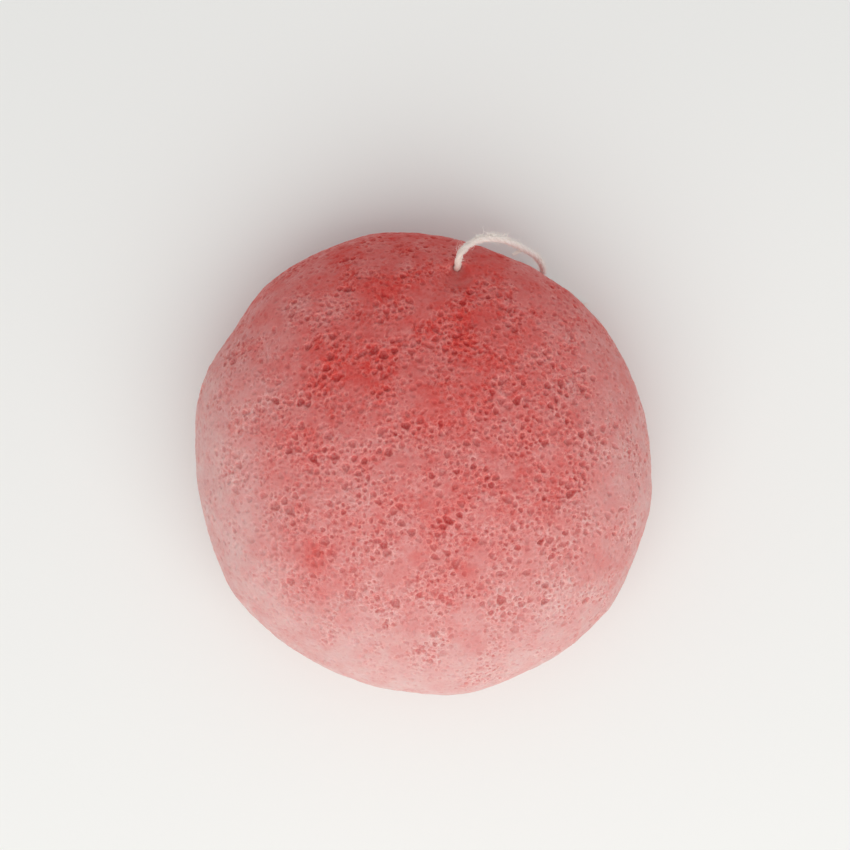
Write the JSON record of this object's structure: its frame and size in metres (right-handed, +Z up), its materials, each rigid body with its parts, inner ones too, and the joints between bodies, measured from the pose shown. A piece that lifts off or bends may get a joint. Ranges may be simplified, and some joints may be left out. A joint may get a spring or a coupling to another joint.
{
  "type": "konjac sponge",
  "caption": "Half-ball konjac face sponge with a porous foam dome, a flat back and a knotted cotton string stitched through its shoulder to hang it by.",
  "frame": {"origin": "middle of the flat back, on the surface that the sponge rests on", "axes": "+Z up through the top of the dome, +Y towards the side where the string leaves the rim in the picture's view from above, +X to the right in that view"},
  "size_m": [0.08, 0.08, 0.038],
  "materials": {
    "konjac_foam": "moist open-cell konjac foam, coral pink, satin",
    "cotton_string": "matt twisted cotton, off-white, slightly fuzzy"
  },
  "bodies": {
    "sponge": {"sponge_body": "konjac_foam"},
    "string": {"string_in_sponge": "cotton_string", "hang_loop": "cotton_string", "under_run": "cotton_string", "knot": "cotton_string"}
  },
  "joints": [
    {"name": "string_swing", "type": "hinge", "parent": "sponge", "child": "string", "pos_m": [0.0055, 0.033, 0.014], "axis": [0, 0, 1], "range_deg": [0, 80]}
  ]
}
